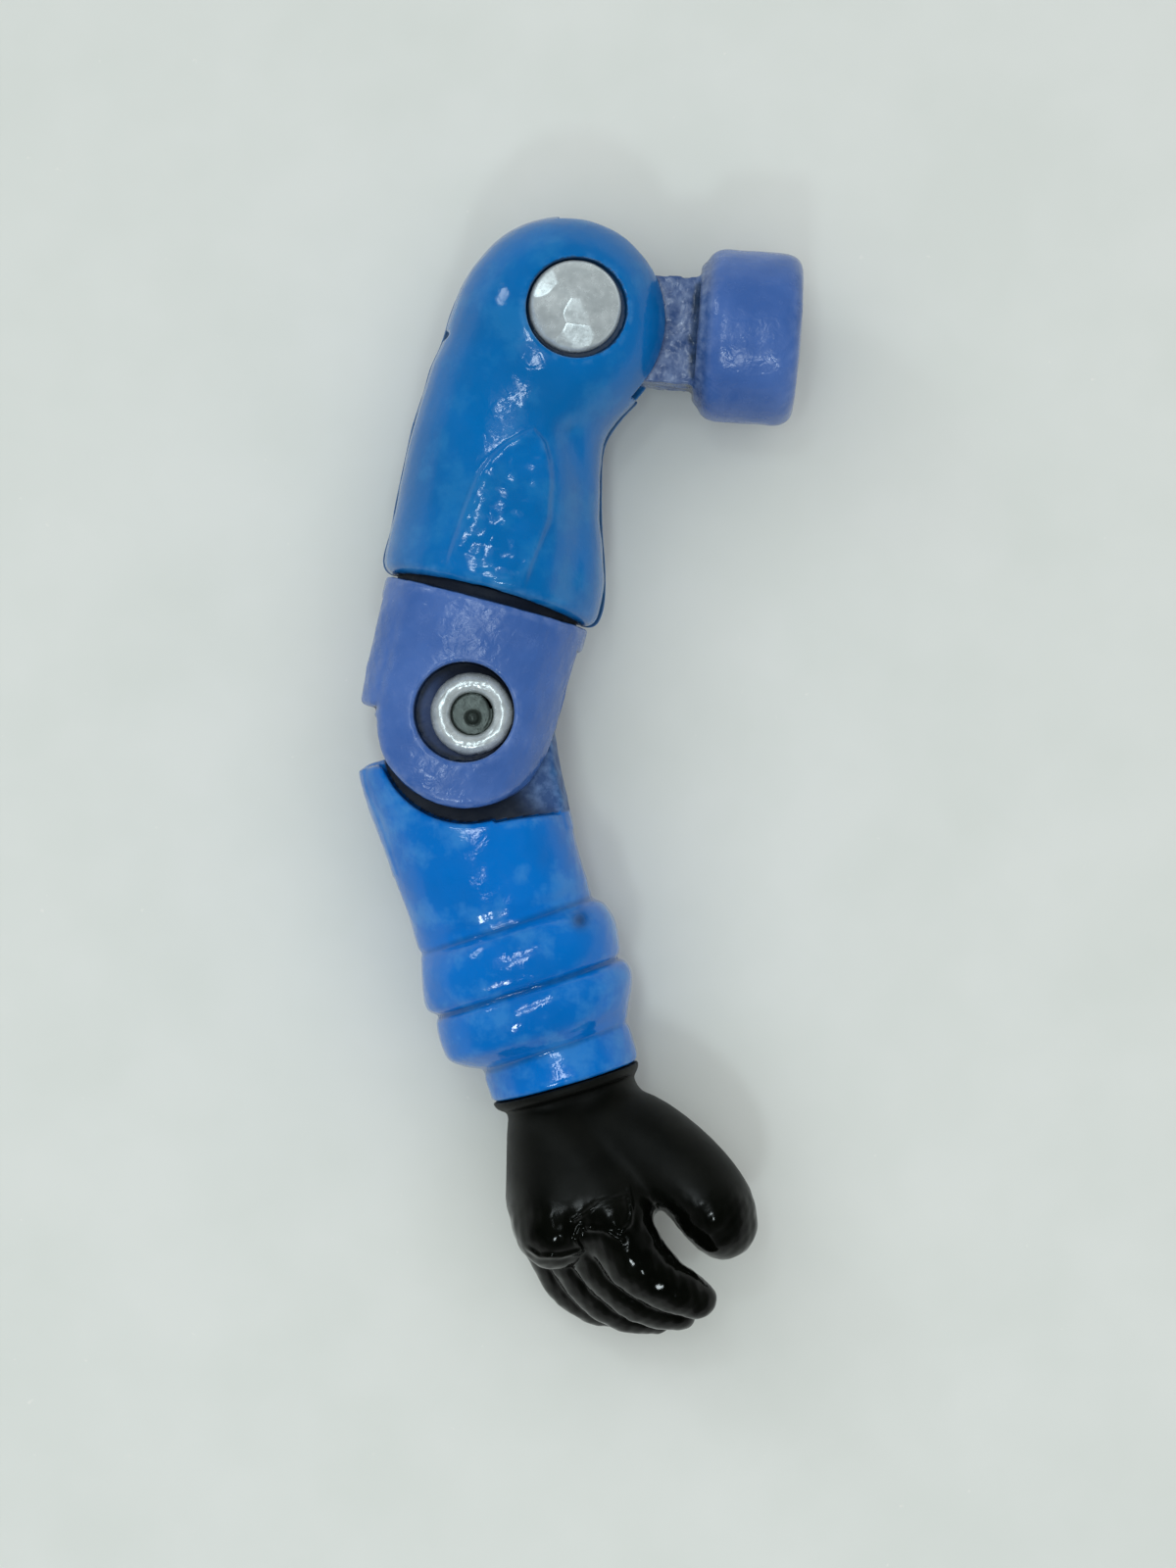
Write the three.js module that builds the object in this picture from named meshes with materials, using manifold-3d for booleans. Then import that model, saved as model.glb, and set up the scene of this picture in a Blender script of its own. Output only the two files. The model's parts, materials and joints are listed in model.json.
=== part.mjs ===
// A loose arm of a small jointed toy figure, 40 mm long, lying on its back half.
// Moulded plastic parts are pinned by two steel rivets: a shoulder peg with a retaining disc, an upper arm
// of two half shells, an elbow fork that swivels in the upper arm, a forearm and a gloved hand.
// Units are millimetres. +X runs out through the shoulder disc, +Y up the arm, +Z away from the table.
import * as THREE from 'three';
import { ConvexGeometry } from 'three/addons/geometries/ConvexGeometry.js';
import { LoftGeometry } from 'three/addons/geometries/LoftGeometry.js';
import { mergeVertices } from 'three/addons/utils/BufferGeometryUtils.js';
import Module from 'manifold-3d';

const wasm = await Module();
wasm.setup();

// ---- pose at rest -------------------------------------------------------------------------------------
const DISC_TILT = -4.3; // degrees, of the shoulder disc's axis below +X
const UPPER_ARM_LEAN = -15; // degrees, of the upper arm away from hanging straight down
const ELBOW_BEND = 30; // degrees, of the forearm from the upper arm's line

// ---- driving dimensions -------------------------------------------------------------------------------
const ELBOW_DROP = 14.8; // shoulder rivet axis to elbow rivet axis
const CLEARANCE = 0.1; // between pieces that move on each other
const SEAM = 0.08; // gap between the two upper arm shells
const FAR = 20; // reach of a cutting tool past the solid that it cuts

const DISC = { radius: 3.0, inner: 4.55, outer: 8.08, edge: 0.55 };
const NECK = { halfHeight: 1.9, drop: 0.38, bossRadius: 2.3, bossInner: 4.3 };
const TONGUE = { radius: 2.75, halfThickness: 1.3 };
const SHOULDER_SWEEP = 86; // degrees that the peg turns in the shell's slot, from square to the arm

const SHANK_RADIUS = 0.85;
const RIVET_HOLE_RADIUS = SHANK_RADIUS + CLEARANCE;
const SHOULDER_HEAD = { radius: 1.54, recessRadius: 1.77, seat: 2.75, dome: 3.62 };
const BACK_HEAD = { radius: 1.5, recessRadius: 1.7, seat: 2.6, dome: 3.3 };
const ELBOW_RING = { radius: 1.45, recessRadius: 1.76, recessX: -0.2, recessY: 0.14, seat: 2.3, top: 2.95 };
const RIVET_HOLLOW = { radius: 0.68, depth: 1.5, cone: 0.45 };

const HEM = -10.69; // lower end of the upper arm
const SWIVEL = { x: -0.4, barrelRadius: 3.65, postRadius: 1.5, flangeRadius: 2.5, flangeHeight: 1.0 };
const HEM_WALL = 1.3; // of the upper arm, between the fork's barrel and its flange
const FORK = { top: 4.0, slotHalf: 1.35, slotRoot: 3.15, stopY: -0.52 };
const EAR = { radius: 3.05, x: -0.1, y: -0.3 };

const ELBOW_TONGUE = { radius: 3.0, halfThickness: 1.25 };
const SCOOP_RADIUS = 3.9; // of the forearm's two hollows, round the fork's ears
const LIP_TOP = -0.72; // the point of the elbow, which meets the fork's stop when the arm is straight
const CUFF_END = -13.65;
const WRIST = { x: -0.1, plugRadius: 1.35, plugLength: 1.9, collarRadius: 2.5, collarHeight: 0.5 };

// ---- the moulded outlines -----------------------------------------------------------------------------
// One station of a body: height, left and right edge, depth to the front and to the back, and squareness.
const UPPER_ARM = [
  // y, left, right, front, back, power
  [HEM, -4.22, 3.42, 3.72, 3.72, 2.0],
  [-10.3, -4.36, 3.5, 3.8, 3.75, 2.0],
  [-9.2, -4.4, 3.46, 3.7, 3.7, 2.1],
  [-7.4, -4.5, 2.9, 3.4, 3.5, 2.2],
  [-5.4, -4.56, 2.36, 3.25, 3.3, 2.3],
  [-3.6, -4.54, 2.16, 3.25, 3.3, 2.3],
  [-2.7, -4.48, 2.5, 3.3, 3.35, 2.4],
  [-1.7, -4.28, 3.2, 3.35, 3.4, 2.5],
  [-0.5, -4.2, 3.36, 3.4, 3.45, 2.6],
  [0.7, -3.96, 3.2, 3.35, 3.4, 2.6],
  [1.8, -3.35, 2.72, 3.2, 3.2, 2.5],
  [2.6, -2.55, 1.95, 2.85, 2.85, 2.3],
  [3.15, -1.7, 1.05, 2.2, 2.2, 2.1],
  [3.4, -0.75, 0.1, 1.2, 1.2, 2.0],
];
const BACK_SHELL_FLARE = 0.12; // the back shell stands this much wider than the front one at its sides

const FOREARM = [
  [-14.2, -2.6, 2.5, 2.5, 2.5, 2.1],
  [-13.4, -2.74, 2.64, 2.6, 2.6, 2.1],
  [-12.7, -2.78, 2.68, 2.65, 2.65, 2.1],
  [-12.15, -2.95, 2.66, 2.75, 2.75, 2.1],
  [-11.75, -3.62, 2.8, 3.15, 3.15, 2.1],
  [-11.2, -3.96, 3.02, 3.4, 3.4, 2.1],
  [-10.5, -3.98, 3.22, 3.5, 3.5, 2.1],
  [-9.95, -3.94, 3.02, 3.3, 3.3, 2.1],
  [-9.5, -4.14, 3.02, 3.35, 3.35, 2.1],
  [-8.6, -4.08, 3.12, 3.4, 3.4, 2.1],
  [-7.9, -3.88, 2.96, 3.25, 3.25, 2.1],
  [-7.45, -3.88, 2.62, 3.0, 3.0, 2.2],
  [-5.8, -3.95, 2.54, 2.85, 2.85, 2.3],
  [-3.8, -4.12, 2.58, 2.9, 2.9, 2.3],
  [-1.6, -4.3, 2.78, 3.0, 3.0, 2.3],
  [0.2, -4.1, 3.0, 2.9, 2.9, 2.3],
];
const CUFF_SLANT = 0.05; // rise of the cuff rolls towards +X

// Balls that the hand is stretched over: x, y, z, radius.
const PALM = [
  [-1.0, -14.7, -0.6, 1.45],
  [0.9, -14.8, -0.6, 1.4],
  [-1.0, -14.7, 0.7, 1.45],
  [0.9, -14.8, 0.7, 1.4],
  [-1.9, -17.6, -1.2, 1.45],
  [-1.9, -17.6, 1.1, 1.5],
  [-1.75, -19.3, -1.3, 1.35],
  [-1.6, -19.0, 1.1, 1.4],
  [0.1, -19.3, -1.2, 1.3],
  [0.35, -18.5, 1.2, 1.35],
];
const THUMB = [
  [0.9, -15.6, 1.2, 1.5],
  [2.5, -17.0, 1.5, 1.4],
  [3.7, -18.6, 1.3, 1.22],
  [4.05, -20.2, 1.1, 0.98],
];
const FINGERS = {
  index: [[-0.1, -18.9, 1.75, 1.0], [0.75, -20.7, 1.85, 0.95], [2.4, -22.3, 1.8, 0.7]],
  middle: [[-0.9, -19.5, 0.6, 1.0], [0.1, -21.3, 0.65, 0.85], [1.9, -22.55, 0.7, 0.62]],
  ring: [[-1.6, -19.8, -0.6, 0.95], [-0.6, -21.5, -0.55, 0.8], [1.0, -22.7, -0.45, 0.58]],
  pinky: [[-2.3, -19.9, -1.75, 0.9], [-1.5, -21.6, -1.65, 0.72], [-0.35, -22.45, -1.55, 0.55]],
};

// ---- materials ----------------------------------------------------------------------------------------
const plastic = (name, color, roughness) =>
  new THREE.MeshStandardMaterial({ name, color, roughness, metalness: 0 });
const SLEEVE_BLUE = plastic('sleeve_blue', 0x0c6fc0, 0.25);
const JOINT_VIOLET = plastic('joint_violet', 0x4a6bb4, 0.45);
const GLOVE_BLACK = plastic('glove_black', 0x080908, 0.15);
const RIVET_STEEL = new THREE.MeshStandardMaterial({
  name: 'rivet_steel',
  color: 0xc4cdd0,
  roughness: 0.35,
  metalness: 1,
});

// ---- solids -------------------------------------------------------------------------------------------
const radians = THREE.MathUtils.degToRad;

/** A closed three.js geometry as a manifold-3d solid. */
function solid(geometry) {
  const skin = new THREE.BufferGeometry();
  skin.setAttribute('position', geometry.getAttribute('position'));
  skin.setIndex(geometry.index);
  const merged = mergeVertices(skin, 1e-4);
  const index = merged.index.array;
  const triangles = [];
  for (let i = 0; i < index.length; i += 3) {
    const [a, b, c] = index.slice(i, i + 3);
    if (a !== b && b !== c && c !== a) triangles.push(a, b, c);
  }
  return new wasm.Manifold(
    new wasm.Mesh({
      numProp: 3,
      vertProperties: merged.attributes.position.array,
      triVerts: new Uint32Array(triangles),
    }),
  );
}

/** A named mesh made from a manifold-3d solid. */
function meshOf(name, material, made) {
  const { vertProperties, triVerts } = made.getMesh();
  const geometry = new THREE.BufferGeometry();
  geometry.setAttribute('position', new THREE.BufferAttribute(vertProperties, 3));
  geometry.setIndex(new THREE.BufferAttribute(triVerts, 1));
  geometry.computeVertexNormals();
  const mesh = new THREE.Mesh(geometry, material);
  mesh.name = name;
  return mesh;
}

/** A round bar along Z between two heights. */
function barZ(radius, low, high, x = 0, y = 0, sides = 32) {
  const bar = new THREE.CylinderGeometry(radius, radius, high - low, sides);
  return solid(bar.rotateX(Math.PI / 2).translate(x, y, (low + high) / 2));
}

/** A round bar along Y between two heights. */
function barY(radius, low, high, x = 0, sides = 40) {
  const bar = new THREE.CylinderGeometry(radius, radius, high - low, sides);
  return solid(bar.translate(x, (low + high) / 2, 0));
}

function box(low, high) {
  const size = high.map((h, i) => h - low[i]);
  const centre = high.map((h, i) => (h + low[i]) / 2);
  return solid(new THREE.BoxGeometry(...size).translate(...centre));
}

/** A flat outline in the arm's plane, raised between two heights in Z. */
function plate(shape, low, high, curveSegments = 24) {
  const options = { depth: high - low, bevelEnabled: false, curveSegments };
  return solid(new THREE.ExtrudeGeometry(shape, options).translate(0, 0, low));
}

/** A profile of (radius, height) points turned about an axis, and shifted. */
function turned(points, { axis = 'z', sides = 28, x = 0, y = 0 } = {}) {
  const profile = points.map(([radius, height]) => new THREE.Vector2(radius, height));
  const lathe = new THREE.LatheGeometry(profile, sides);
  if (axis === 'z') lathe.rotateX(Math.PI / 2);
  if (axis === 'x') lathe.rotateZ(-Math.PI / 2);
  return solid(lathe.translate(x, y, 0));
}

/** Stations joined by a smooth curve in every value, and lofted. */
function loftedBody(stations, { rows = 22, sides = 32, flare = 0, slant = 0 } = {}) {
  const heights = stations.map((s) => s[0]);
  const size = stations[0].length - 1;
  const values = stations.flatMap((s) => s.slice(1));
  const curve = new THREE.CubicInterpolant(heights, values, size, new Float32Array(size));
  const sections = [];
  for (let i = 0; i <= rows; i++) {
    const y = THREE.MathUtils.lerp(heights[0], heights.at(-1), i / rows);
    const [left, right, front, back, power] = curve.evaluate(y);
    const middle = (left + right) / 2;
    const half = (right - left) / 2 + flare;
    const points = [];
    for (let j = 0; j < sides; j++) {
      const angle = (j / sides) * 2 * Math.PI;
      const across = Math.sign(Math.cos(angle)) * Math.abs(Math.cos(angle)) ** (2 / power);
      const deep = Math.sign(Math.sin(angle)) * Math.abs(Math.sin(angle)) ** (2 / power);
      const x = middle + half * across;
      points.push(new THREE.Vector3(x, y + slant * x, -(deep < 0 ? front : back) * deep));
    }
    sections.push(points);
  }
  return solid(new LoftGeometry(sections, { capStart: true, capEnd: true }));
}

/** The convex hull round a few balls. */
function hull(balls, detail = 1) {
  const points = [];
  for (const [x, y, z, radius] of balls) {
    const at = new THREE.IcosahedronGeometry(radius, detail).translate(x, y, z).attributes.position;
    for (let i = 0; i < at.count; i++) points.push(new THREE.Vector3().fromBufferAttribute(at, i));
  }
  return solid(new ConvexGeometry(points));
}

const union = (solids) => solids.reduce((whole, next) => whole.add(next));

// ---- shoulder peg: disc, neck and tongue in one moulding, along X ---------------------------------------
function shoulderPeg() {
  const { radius, inner, outer, edge } = DISC;
  const rim = edge * 0.3;
  const disc = turned(
    [
      [0, inner], [radius - edge, inner], [radius - rim, inner + rim], [radius, inner + edge],
      [radius, outer - edge], [radius - rim, outer - rim], [radius - edge, outer], [0, outer],
    ],
    { axis: 'x', sides: 36, y: -NECK.drop },
  );
  const { bossRadius, bossInner } = NECK;
  const boss = turned(
    [[0, bossInner], [bossRadius, bossInner], [bossRadius, inner + edge], [0, inner + edge]],
    { axis: 'x', y: -NECK.drop },
  );

  const top = NECK.halfHeight - NECK.drop;
  const bottom = -NECK.halfHeight - NECK.drop;
  const start = Math.asin(top / TONGUE.radius);
  const end = Math.asin(bottom / TONGUE.radius);
  const shape = new THREE.Shape();
  shape.absarc(0, 0, TONGUE.radius, start, end + 2 * Math.PI, false);
  shape.lineTo(inner + edge, bottom);
  shape.lineTo(inner + edge, top);
  shape.closePath();
  const tongue = plate(shape, -TONGUE.halfThickness, TONGUE.halfThickness, 28);
  return union([disc, boss, tongue]).subtract(barZ(RIVET_HOLE_RADIUS, -FAR, FAR));
}

// ---- upper arm: two half shells ---------------------------------------------------------------------
/** The room inside the closed shells for the peg's tongue and neck. */
function shoulderPocket() {
  const room = TONGUE.halfThickness + CLEARANCE;
  const pocket = barZ(TONGUE.radius + CLEARANCE, -room, room);
  const below = -NECK.halfHeight - NECK.drop - CLEARANCE;
  const above = NECK.halfHeight - NECK.drop + CLEARANCE;
  const turn = radians(SHOULDER_SWEEP);
  const raised = new THREE.Vector2(-Math.sin(turn), Math.cos(turn)).multiplyScalar(above);
  const along = new THREE.Vector2(Math.cos(turn), Math.sin(turn)).multiplyScalar(FAR);
  const slot = new THREE.Shape([
    new THREE.Vector2(0, below),
    new THREE.Vector2(FAR, below),
    new THREE.Vector2(FAR, FAR),
    raised.clone().add(along),
    raised,
  ]);
  return pocket.add(plate(slot, -room, room));
}

/** The room for the elbow fork's post and flange. */
function swivelPocket() {
  const flangeLow = HEM + HEM_WALL;
  const flangeHigh = flangeLow + SWIVEL.flangeHeight + 1.5 * CLEARANCE;
  const bore = barY(SWIVEL.postRadius + CLEARANCE, HEM - 1, flangeHigh, SWIVEL.x);
  return bore.add(barY(SWIVEL.flangeRadius + CLEARANCE, flangeLow, flangeHigh, SWIVEL.x));
}

/** The hollow that keeps the shells' walls even. */
function lighteningPocket() {
  const [left, right, low, high, corner, depth] = [-3.3, 1.1, -7.6, -3.9, 0.6, 2.1];
  const shape = new THREE.Shape();
  shape.moveTo(left + corner, low).lineTo(right - corner, low);
  shape.absarc(right - corner, low + corner, corner, -Math.PI / 2, 0, false);
  shape.absarc(right - corner, high - corner, corner, 0, Math.PI / 2, false);
  shape.absarc(left + corner, high - corner, corner, Math.PI / 2, Math.PI, false);
  shape.absarc(left + corner, low + corner, corner, Math.PI, 1.5 * Math.PI, false);
  return plate(shape, -depth, depth, 4);
}

const LOCATING_PINS = [[-3.75, -8.7], [2.75, -9.1], [-3.55, -2.95], [1.45, -3.3]];
const PIN = { radius: 0.33, length: 0.75, room: 0.06 };

function upperArmShells() {
  const pockets = union([shoulderPocket(), swivelPocket(), lighteningPocket()]);
  const hole = barZ(RIVET_HOLE_RADIUS, -FAR, FAR);
  const front = loftedBody(UPPER_ARM)
    .intersect(box([-FAR, -FAR, SEAM / 2], [FAR, FAR, FAR]))
    .subtract(union([pockets, hole, barZ(SHOULDER_HEAD.recessRadius, SHOULDER_HEAD.seat, FAR)]));
  const back = loftedBody(UPPER_ARM, { flare: BACK_SHELL_FLARE })
    .intersect(box([-FAR, -FAR, -FAR], [FAR, FAR, -SEAM / 2]))
    .subtract(union([pockets, hole, barZ(BACK_HEAD.recessRadius, -FAR, -BACK_HEAD.seat)]));
  const pins = LOCATING_PINS.map(([x, y]) => barZ(PIN.radius, -PIN.length, 0.5, x, y, 16));
  const sockets = LOCATING_PINS.map(([x, y]) =>
    barZ(PIN.radius + PIN.room, -PIN.length - 2 * PIN.room, 0.5, x, y, 16),
  );
  return [
    meshOf('upper_arm_front_shell', SLEEVE_BLUE, front.add(union(pins))),
    meshOf('upper_arm_back_shell', SLEEVE_BLUE, back.subtract(union(sockets))),
  ];
}

// ---- rivets -------------------------------------------------------------------------------------------
/** Profile of a low dome from its rim at `seat` to its crown at `top`. */
function domeProfile(radius, seat, top, rimHeight = 0.3, steps = 6) {
  const points = [];
  for (let i = 0; i <= steps; i++) {
    const angle = (i / steps) * (Math.PI / 2);
    const height = seat + rimHeight + (top - seat - rimHeight) * Math.sin(angle);
    points.push([i === steps ? 0 : radius * Math.cos(angle), height]);
  }
  return points;
}

/** Shoulder rivet: domed head in front, rolled rim behind. */
function shoulderRivet() {
  const gap = 0.04;
  return turned([
    [0, -BACK_HEAD.seat + RIVET_HOLLOW.depth - RIVET_HOLLOW.cone],
    [RIVET_HOLLOW.radius, -BACK_HEAD.seat + RIVET_HOLLOW.depth - 2 * RIVET_HOLLOW.cone],
    [RIVET_HOLLOW.radius, -BACK_HEAD.seat - 0.2],
    [0.95, -BACK_HEAD.seat - 0.5],
    [1.3, -BACK_HEAD.seat - 0.42],
    [1.4, -BACK_HEAD.seat - gap],
    [SHANK_RADIUS, -BACK_HEAD.seat - gap],
    [SHANK_RADIUS, SHOULDER_HEAD.seat + gap],
    [SHOULDER_HEAD.radius, SHOULDER_HEAD.seat + gap],
    ...domeProfile(SHOULDER_HEAD.radius, SHOULDER_HEAD.seat + gap, SHOULDER_HEAD.dome),
  ]);
}

/** Elbow rivet: rolled rim round its hollow end in front, domed head behind. */
function elbowRivet() {
  const gap = 0.04;
  const { radius, seat, top } = ELBOW_RING;
  const headSeat = seat + gap;
  const crown = -BACK_HEAD.dome;
  const dome = domeProfile(BACK_HEAD.radius, headSeat, -crown).map(([r, h]) => [r, -h]);
  return turned([
    ...dome.reverse(),
    [BACK_HEAD.radius, -headSeat],
    [SHANK_RADIUS, -headSeat],
    [SHANK_RADIUS, seat + gap],
    [radius, seat + gap],
    [radius, seat + 0.35],
    [radius - 0.2, top - 0.08],
    [radius - 0.42, top],
    [radius - 0.62, top - 0.08],
    [RIVET_HOLLOW.radius, top - 0.35],
    [RIVET_HOLLOW.radius, top - RIVET_HOLLOW.depth],
    [0, top - RIVET_HOLLOW.depth - RIVET_HOLLOW.cone],
  ]);
}

// ---- elbow fork: barrel, two ears and the swivel post, in the frame of the elbow rivet -------------------
function elbowFork() {
  const { x, barrelRadius, postRadius, flangeRadius, flangeHeight } = SWIVEL;
  const side = new THREE.Shape();
  side.moveTo(x - barrelRadius, FORK.top);
  side.lineTo(x - barrelRadius, FORK.stopY);
  side.lineTo(EAR.x - EAR.radius, FORK.stopY);
  side.lineTo(EAR.x - EAR.radius, EAR.y);
  side.absarc(EAR.x, EAR.y, EAR.radius, Math.PI, 2 * Math.PI, false);
  side.lineTo(x + barrelRadius, 1.2);
  side.lineTo(x + barrelRadius, FORK.top);
  side.closePath();
  const body = barY(barrelRadius, -FAR, FORK.top, x).intersect(plate(side, -FAR, FAR));

  const flangeLow = ELBOW_DROP + HEM + HEM_WALL + CLEARANCE / 2;
  const post = barY(postRadius, FORK.top - 0.5, flangeLow + flangeHeight, x);
  const flange = barY(flangeRadius, flangeLow, flangeLow + flangeHeight, x);
  const slot = box([-FAR, -FAR, -FORK.slotHalf], [FAR, FORK.slotRoot, FORK.slotHalf]);
  const { recessRadius, recessX, recessY, seat } = ELBOW_RING;
  return union([body, post, flange]).subtract(
    union([
      slot,
      barZ(RIVET_HOLE_RADIUS, -FAR, FAR),
      barZ(recessRadius, seat, FAR, recessX, recessY),
      barZ(BACK_HEAD.recessRadius, -FAR, -seat),
    ]),
  );
}

// ---- forearm ------------------------------------------------------------------------------------------
/** Everything above the forearm's shoulders on one side of its tongue. */
function scoopShape() {
  const shape = new THREE.Shape();
  const lip = Math.PI - Math.asin(LIP_TOP / SCOOP_RADIUS);
  const shoulder = 1.5 * Math.PI + 0.27;
  shape.moveTo(-FAR, LIP_TOP);
  shape.absarc(0, 0, SCOOP_RADIUS, lip, shoulder, false);
  shape.lineTo(4, -4.6).lineTo(FAR, -4.6).lineTo(FAR, FAR).lineTo(-FAR, FAR);
  shape.closePath();
  return shape;
}

function forearm() {
  const { radius, halfThickness } = ELBOW_TONGUE;
  const scoop = scoopShape();
  const body = loftedBody(FOREARM, { rows: 34, slant: CUFF_SLANT })
    .subtract(plate(scoop, halfThickness, FAR))
    .subtract(plate(scoop, -FAR, -halfThickness))
    .intersect(box([-FAR, CUFF_END, -FAR], [FAR, LIP_TOP, FAR]));
  const eye = new THREE.Shape();
  eye.absarc(0, 0, radius, Math.atan2(-0.9, radius), Math.PI - Math.atan2(-0.9, radius), false);
  eye.lineTo(-2.4, -5).lineTo(2.4, -5);
  eye.closePath();
  const tongue = plate(eye, -halfThickness, halfThickness);
  const socketTop = CUFF_END + WRIST.plugLength + 0.2;
  const socket = barY(WRIST.plugRadius + CLEARANCE, CUFF_END - 1, socketTop, WRIST.x, 32);
  return body.add(tongue).subtract(union([barZ(RIVET_HOLE_RADIUS, -FAR, FAR), socket]));
}

// ---- hand ---------------------------------------------------------------------------------------------
function limb(balls) {
  return union(balls.slice(1).map((ball, i) => hull([balls[i], ball])));
}

function hand() {
  const { x, plugRadius, plugLength, collarRadius, collarHeight } = WRIST;
  const top = CUFF_END - 0.06;
  const plug = barY(plugRadius, top - 1, CUFF_END + plugLength, x, 32);
  const collar = turned(
    [
      [0, top - 1], [1.6, top - 1], [2.1, top - collarHeight],
      [collarRadius, top - 0.2], [collarRadius, top + 0.5], [0, top + 0.5],
    ],
    { axis: 'y', x },
  );
  const glove = union([collar, hull(PALM), limb(THUMB), ...Object.values(FINGERS).map(limb)]);
  return glove.intersect(box([-FAR, -2 * FAR, -FAR], [FAR, top, FAR])).add(plug);
}

// ---- assembly -----------------------------------------------------------------------------------------
const arm = new THREE.Group();

const peg = new THREE.Group();
peg.rotation.z = radians(DISC_TILT);
peg.add(meshOf('shoulder_peg', JOINT_VIOLET, shoulderPeg()));

const upperArm = new THREE.Group();
upperArm.rotation.z = radians(UPPER_ARM_LEAN);
upperArm.add(...upperArmShells(), meshOf('shoulder_rivet', RIVET_STEEL, shoulderRivet()));

const elbow = new THREE.Group();
elbow.position.y = -ELBOW_DROP;
elbow.add(meshOf('elbow_fork', JOINT_VIOLET, elbowFork()), meshOf('elbow_rivet', RIVET_STEEL, elbowRivet()));

const lowerArm = new THREE.Group();
lowerArm.rotation.z = radians(ELBOW_BEND);
lowerArm.add(meshOf('forearm', SLEEVE_BLUE, forearm()), meshOf('hand', GLOVE_BLACK, hand()));

elbow.add(lowerArm);
upperArm.add(elbow);
arm.add(peg, upperArm);

// The frame's origin is the middle of the underside, where the arm lies on a table.
arm.updateMatrixWorld(true);
const bounds = new THREE.Box3().setFromObject(arm, true);
arm.position.set(-(bounds.min.x + bounds.max.x) / 2, -(bounds.min.y + bounds.max.y) / 2, -bounds.min.z);

export default arm;
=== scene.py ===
"""A loose arm of a small jointed toy figure, lying on pale paper and seen from straight above.

Every visible piece is carved as a block of signed distances in its own segment's frame, in millimetres, and
meshed. The segments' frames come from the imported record: the two hinges' points, the elbow's straightest
angle and the mount's axis.
"""

import functools
import itertools
import json
import math

import bpy
import numpy as np
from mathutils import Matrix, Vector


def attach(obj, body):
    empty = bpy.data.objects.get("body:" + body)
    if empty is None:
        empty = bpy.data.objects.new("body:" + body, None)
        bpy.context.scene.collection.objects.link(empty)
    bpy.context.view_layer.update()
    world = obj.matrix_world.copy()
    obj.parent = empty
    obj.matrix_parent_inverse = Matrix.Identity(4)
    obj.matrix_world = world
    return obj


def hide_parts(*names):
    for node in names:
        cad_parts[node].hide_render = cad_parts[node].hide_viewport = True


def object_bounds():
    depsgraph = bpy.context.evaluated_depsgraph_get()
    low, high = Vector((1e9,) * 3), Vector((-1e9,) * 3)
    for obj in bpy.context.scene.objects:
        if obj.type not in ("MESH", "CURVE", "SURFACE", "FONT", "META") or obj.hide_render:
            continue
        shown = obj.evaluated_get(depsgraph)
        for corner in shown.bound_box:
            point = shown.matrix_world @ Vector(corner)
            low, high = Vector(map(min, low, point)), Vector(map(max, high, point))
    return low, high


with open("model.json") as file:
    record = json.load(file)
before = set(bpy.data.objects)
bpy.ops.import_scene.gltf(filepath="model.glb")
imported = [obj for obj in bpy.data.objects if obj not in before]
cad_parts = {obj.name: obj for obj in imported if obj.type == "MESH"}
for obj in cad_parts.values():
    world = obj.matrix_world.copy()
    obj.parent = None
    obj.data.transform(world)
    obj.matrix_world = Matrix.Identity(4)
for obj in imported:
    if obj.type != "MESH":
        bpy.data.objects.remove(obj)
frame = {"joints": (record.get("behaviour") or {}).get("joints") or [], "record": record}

import openvdb
from mathutils import Matrix, Vector

CAD_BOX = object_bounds()
MM = 0.001

# ---- segments' frames ---------------------------------------------------------------------------------
JOINTS = {joint["name"]: joint for joint in frame["joints"]}
SHOULDER = Vector(JOINTS["shoulder_hinge"]["pos_m"])
ELBOW = Vector(JOINTS["elbow_hinge"]["pos_m"])
UP_THE_ARM = SHOULDER - ELBOW
STRAIGHT = math.radians(JOINTS["elbow_hinge"]["range_deg"][0])
DISC_AXIS = Vector(frame["record"]["mounts"][0]["axis"])
ELBOW_DROP = UP_THE_ARM.length / MM


def segment(origin, angle):
    """The matrix from a segment's millimetres to the row frame, turned by an angle about +Z."""
    return Matrix.Translation(origin) @ Matrix.Rotation(angle, 4, "Z") @ Matrix.Scale(MM, 4)


ARM_ANGLE = math.atan2(-UP_THE_ARM.x, UP_THE_ARM.y)
PEG_FRAME = segment(SHOULDER, math.atan2(DISC_AXIS.y, DISC_AXIS.x))
UPPER_FRAME = segment(SHOULDER, ARM_ANGLE)
ELBOW_FRAME = segment(ELBOW, ARM_ANGLE)
FOREARM_FRAME = segment(ELBOW, ARM_ANGLE - STRAIGHT)


# ---- camera, light and floor --------------------------------------------------------------------------
VIEW_HEIGHT = 56.14  # mm of the scene from the picture's top to its bottom, at the arm's middle
CAMERA_DISTANCE = 150.0  # mm above the arm's middle
CAMERA_SHIFT = (0.2, -0.19)  # mm from the arm's middle, to the right and up the picture
SENSOR = 36.0
FLOOR_HALF = 0.6  # m
# sine of the angle above the floor, and the brightness there
ROOM_LIGHT = [(0, 0.66), (0.12, 0.6), (0.35, 0.2), (0.75, 0.02)]
ROOM_TINT = (0.94, 0.98, 0.97)
LAMP_TINT = (0.86, 0.97, 1)
# the way to its middle, its width in degrees, and its power
SKY = {
    "overhead": ((-0.1, 0.2, 1), 96, 1.85),
    "north_west": ((-1, 1, 0.9), 60, 0.24),
    "north_east": ((1, 1, 0.9), 60, 0.21),
    "south_east": ((1, -1, 0.9), 60, 0.26),
    "south_west": ((-1, -1, 0.9), 60, 0.22),
}
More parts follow.
